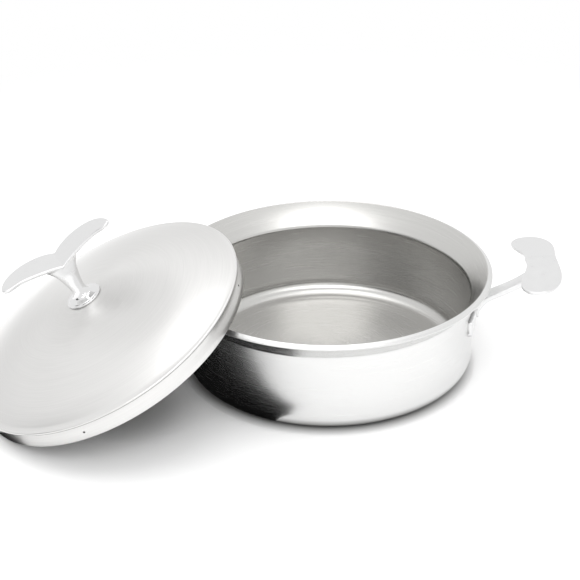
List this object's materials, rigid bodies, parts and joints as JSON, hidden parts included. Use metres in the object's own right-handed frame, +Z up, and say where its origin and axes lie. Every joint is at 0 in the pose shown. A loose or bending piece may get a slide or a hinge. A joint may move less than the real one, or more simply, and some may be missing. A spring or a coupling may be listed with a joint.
{
  "type": "braiser with lid",
  "caption": "Wide shallow clad steel braiser with a flared rim, gull-wing side grips welded to the wall, and a domed lid with a gull-wing knob, leaning on a grip beside the pan.",
  "frame": {"origin": "centre of the pan's flat base, on the floor", "axes": "+Z up; the two grips lie along X, the free one on +X and the one under the lid on -X; the side that faces the viewer is -Y"},
  "size_m": [0.4887, 0.3215, 0.1619],
  "materials": {
    "pan_steel": "brushed round the axis",
    "grip_steel": "satin polished",
    "lid_steel": "brushed round the axis",
    "knob_steel": "satin wings, polished stem and flange",
    "fastener_steel": "plain"
  },
  "bodies": {
    "pan": {"pan_body": "pan_steel", "handle_right": "grip_steel", "handle_left": "grip_steel"},
    "lid": {"lid_shell": "lid_steel", "lid_knob": "knob_steel", "knob_screw": "fastener_steel", "knob_spring_washer": "fastener_steel", "knob_flat_washer": "fastener_steel"}
  },
  "joints": [
    {"name": "lid_lift", "type": "slide", "parent": "pan", "child": "lid", "axis": [0, 0, 1], "range_m": [0, 0.2]}
  ]
}
